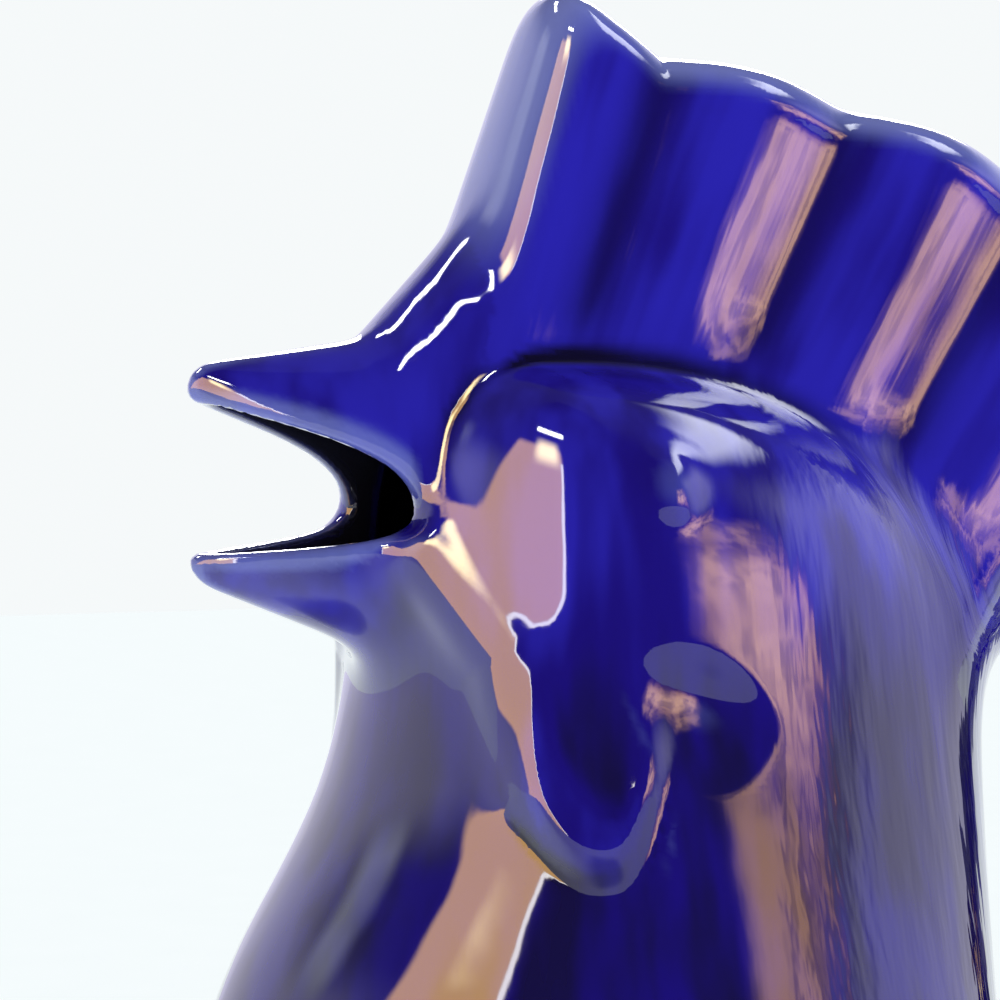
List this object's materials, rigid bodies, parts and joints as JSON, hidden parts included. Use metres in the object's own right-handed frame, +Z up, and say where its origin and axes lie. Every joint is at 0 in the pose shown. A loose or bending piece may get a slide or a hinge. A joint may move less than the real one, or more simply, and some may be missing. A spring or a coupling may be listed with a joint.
{
  "type": "rooster carafe",
  "caption": "Glazed ceramic carafe with a rooster's head: hollow belly and neck, open beak as the spout, fluted comb, wattles, eyes and a loop handle.",
  "frame": {"origin": "middle of the whole carafe's box, on the plane that the foot ring stands on", "axes": "+Z up, -X towards the beak, +Y towards the rooster's right side"},
  "size_m": [0.1834, 0.1224, 0.2506],
  "materials": {
    "cobalt_glaze": "very glossy deep cobalt glaze, lighter where it runs thin on rims",
    "bare_clay": "unglazed biscuit, matte"
  },
  "bodies": {
    "root": {"foot_ring": "bare_clay", "body_shell": "cobalt_glaze", "head_shell": "cobalt_glaze", "upper_beak": "cobalt_glaze", "lower_beak": "cobalt_glaze", "comb": "cobalt_glaze", "wattle_left": "cobalt_glaze", "wattle_right": "cobalt_glaze", "eye_left": "cobalt_glaze", "eye_right": "cobalt_glaze", "handle": "cobalt_glaze"}
  },
  "joints": []
}
